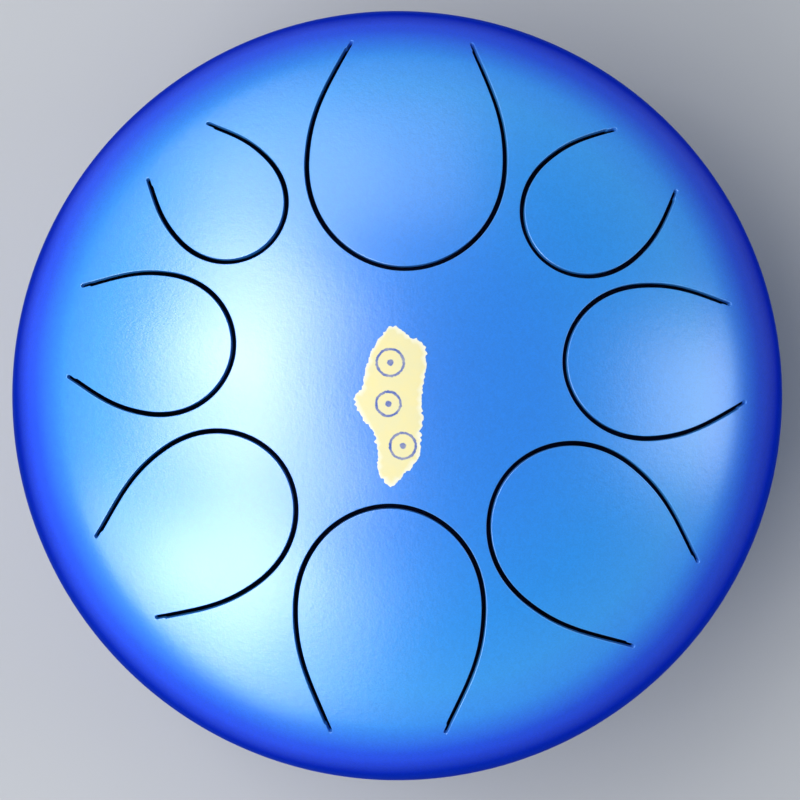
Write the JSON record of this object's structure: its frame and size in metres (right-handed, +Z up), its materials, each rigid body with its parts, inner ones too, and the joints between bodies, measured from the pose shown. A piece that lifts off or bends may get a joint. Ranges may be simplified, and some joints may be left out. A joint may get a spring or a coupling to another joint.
{
  "type": "steel tongue drum",
  "caption": "Closed steel drum of two welded bowls: horseshoe slots free tuned tongues in the domed top, with a sound hole and rubber feet below.",
  "frame": {"origin": "on the resting plane, under the drum's axis, at the middle of the three feet", "axes": "+Z up along the drum's axis, +Y towards the largest and lowest tongue, +X to the right when that tongue is at the far side"},
  "size_m": [0.2544, 0.2544, 0.1458],
  "materials": {
    "blue_paint": "satin metallic blue, lighter in the middle and deeper at the shoulder",
    "decal_vinyl": "matt cream gold vinyl",
    "foot_rubber": "matt black rubber",
    "zinc_steel": "bright zinc plate"
  },
  "bodies": {
    "drum": {"top_shell": "blue_paint", "bottom_shell": "blue_paint", "equator_weld": "blue_paint", "crown_decal": "decal_vinyl", "foot_1": "foot_rubber", "foot_washer_1": "zinc_steel", "foot_screw_1": "zinc_steel", "foot_nut_1": "zinc_steel", "foot_2": "foot_rubber", "foot_washer_2": "zinc_steel", "foot_screw_2": "zinc_steel", "foot_nut_2": "zinc_steel", "foot_3": "foot_rubber", "foot_washer_3": "zinc_steel", "foot_screw_3": "zinc_steel", "foot_nut_3": "zinc_steel"},
    "tongue_1": {"tongue_1": "blue_paint"},
    "tongue_2": {"tongue_2": "blue_paint"},
    "tongue_3": {"tongue_3": "blue_paint"},
    "tongue_4": {"tongue_4": "blue_paint"},
    "tongue_5": {"tongue_5": "blue_paint"},
    "tongue_6": {"tongue_6": "blue_paint"},
    "tongue_7": {"tongue_7": "blue_paint"},
    "tongue_8": {"tongue_8": "blue_paint"}
  },
  "joints": [
    {"name": "tongue_1_flex", "type": "hinge", "parent": "drum", "child": "tongue_1", "pos_m": [0.00096, 0.1104, 0.11818], "axis": [-1, 0.0087, 0], "range_deg": [-1.4, 1.4], "stiffness_Nm_per_rad": 12},
    {"name": "tongue_2_flex", "type": "hinge", "parent": "drum", "child": "tongue_2", "pos_m": [0.00112, -0.10699, 0.12033], "axis": [0.9999, 0.0105, 0], "range_deg": [-1.4, 1.4], "stiffness_Nm_per_rad": 12},
    {"name": "tongue_3_flex", "type": "hinge", "parent": "drum", "child": "tongue_3", "pos_m": [0.0863, -0.06409, 0.12004], "axis": [0.5962, 0.8028, 0], "range_deg": [-1.4, 1.4], "stiffness_Nm_per_rad": 12},
    {"name": "tongue_4_flex", "type": "hinge", "parent": "drum", "child": "tongue_4", "pos_m": [-0.08207, -0.06207, 0.12232], "axis": [0.6032, -0.7976, 0], "range_deg": [-1.4, 1.4], "stiffness_Nm_per_rad": 12},
    {"name": "tongue_5_flex", "type": "hinge", "parent": "drum", "child": "tongue_5", "pos_m": [0.10701, 0.01456, 0.11975], "axis": [-0.1349, 0.9909, 0], "range_deg": [-1.4, 1.4], "stiffness_Nm_per_rad": 6},
    {"name": "tongue_6_flex", "type": "hinge", "parent": "drum", "child": "tongue_6", "pos_m": [-0.10138, 0.01443, 0.12254], "axis": [-0.1409, -0.99, 0], "range_deg": [-1.4, 1.4], "stiffness_Nm_per_rad": 6},
    {"name": "tongue_7_flex", "type": "hinge", "parent": "drum", "child": "tongue_7", "pos_m": [0.07646, 0.07514, 0.12021], "axis": [-0.7009, 0.7133, 0], "range_deg": [-1.4, 1.4], "stiffness_Nm_per_rad": 6},
    {"name": "tongue_8_flex", "type": "hinge", "parent": "drum", "child": "tongue_8", "pos_m": [-0.07175, 0.0725, 0.12272], "axis": [-0.7108, -0.7034, 0], "range_deg": [-1.4, 1.4], "stiffness_Nm_per_rad": 6}
  ]
}
